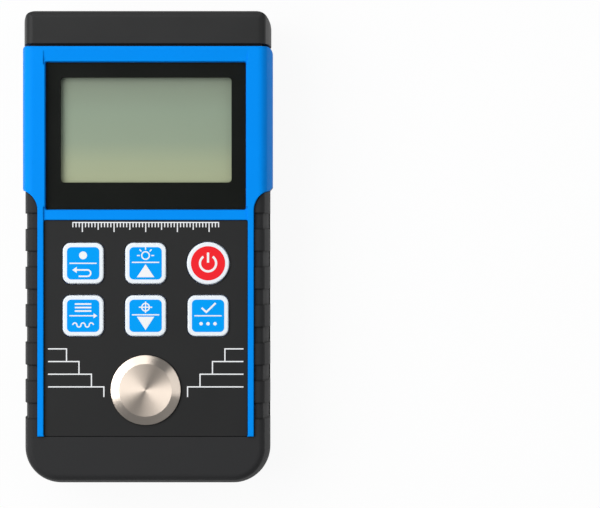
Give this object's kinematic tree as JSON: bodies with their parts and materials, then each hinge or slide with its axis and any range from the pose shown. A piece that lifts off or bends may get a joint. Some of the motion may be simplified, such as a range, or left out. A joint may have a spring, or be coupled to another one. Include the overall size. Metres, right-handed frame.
{
  "type": "ultrasonic thickness gauge",
  "caption": "Handheld ultrasonic thickness gauge with a display window, pressable keys, a round steel test block, probe sockets and a ribbed rubber boot.",
  "frame": {"origin": "middle of the back's bounding rectangle, on the surface the gauge lies on", "axes": "+X to the right of the display, +Y from the foot to the probe sockets, +Z out of the display"},
  "size_m": [0.08, 0.15, 0.031],
  "materials": {
    "blue_shell": "smooth moulded, soft gloss",
    "black_shell": "fine texture",
    "soft_rubber": "matte soft-touch rubber",
    "window_clear": "polished clear acrylic with a black printed border",
    "overlay_sheet": "matte printed sheet",
    "turned_steel": "fine turned",
    "nickel": "nickel plated",
    "silicone": "matte",
    "board": "solder mask",
    "display": "grey-green reflective display",
    "light_guide": "milky",
    "chip": "moulded",
    "capacitor_sleeve": "shrink sleeve",
    "insulator": "smooth",
    "gilt": "gold plated",
    "lead_sleeve": "smooth",
    "cell_sleeve": "printed sleeve, plain",
    "screw_steel": "zinc plated",
    "label_foil": "satin foil, plain",
    "key_cap": "white cap with a printed coloured field"
  },
  "bodies": {
    "gauge": {"front_case": "blue_shell", "rear_case": "black_shell", "grip_boot": "soft_rubber", "socket_cap": "black_shell", "window_lens": "window_clear", "keypad_overlay": "overlay_sheet", "test_block": "turned_steel", "block_nut": "nickel", "keypad_mat": "silicone", "main_board": "board", "lcd_holder": "black_shell", "lcd_panel": "display", "backlight": "light_guide", "contact_strip": "silicone", "processor_chip": "chip", "amplifier_chip": "chip", "pulse_transformer": "chip", "storage_capacitors": "capacitor_sleeve", "buzzer": "chip", "crystal": "nickel", "probe_socket_left": "nickel", "probe_socket_right": "nickel", "socket_insulators": "insulator", "socket_contacts": "gilt", "socket_nuts": "nickel", "socket_leads": "lead_sleeve", "cell_left": "cell_sleeve", "cell_right": "cell_sleeve", "battery_link": "nickel", "terminal_positive": "nickel", "terminal_negative": "nickel", "case_screws": "screw_steel", "board_screws": "screw_steel", "back_label": "label_foil"},
    "battery_door": {"battery_door": "black_shell"},
    "key_record": {"key_record": "key_cap"},
    "key_up": {"key_up": "key_cap"},
    "key_power": {"key_power": "key_cap"},
    "key_menu": {"key_menu": "key_cap"},
    "key_down": {"key_down": "key_cap"},
    "key_enter": {"key_enter": "key_cap"}
  },
  "joints": [
    {"name": "key_record_press", "type": "slide", "parent": "gauge", "child": "key_record", "axis": [0, 0, -1], "range_m": [0, 0.0008], "stiffness_N_per_m": 1500, "deforming": ["keypad_mat"]},
    {"name": "key_up_press", "type": "slide", "parent": "gauge", "child": "key_up", "axis": [0, 0, -1], "range_m": [0, 0.0008], "stiffness_N_per_m": 1500, "deforming": ["keypad_mat"]},
    {"name": "key_power_press", "type": "slide", "parent": "gauge", "child": "key_power", "axis": [0, 0, -1], "range_m": [0, 0.0008], "stiffness_N_per_m": 1500, "deforming": ["keypad_mat"]},
    {"name": "key_menu_press", "type": "slide", "parent": "gauge", "child": "key_menu", "axis": [0, 0, -1], "range_m": [0, 0.0008], "stiffness_N_per_m": 1500, "deforming": ["keypad_mat"]},
    {"name": "key_down_press", "type": "slide", "parent": "gauge", "child": "key_down", "axis": [0, 0, -1], "range_m": [0, 0.0008], "stiffness_N_per_m": 1500, "deforming": ["keypad_mat"]},
    {"name": "key_enter_press", "type": "slide", "parent": "gauge", "child": "key_enter", "axis": [0, 0, -1], "range_m": [0, 0.0008], "stiffness_N_per_m": 1500, "deforming": ["keypad_mat"]},
    {"name": "battery_door_slide", "type": "slide", "parent": "gauge", "child": "battery_door", "axis": [0, -1, 0], "range_m": [0, 0.07]}
  ]
}
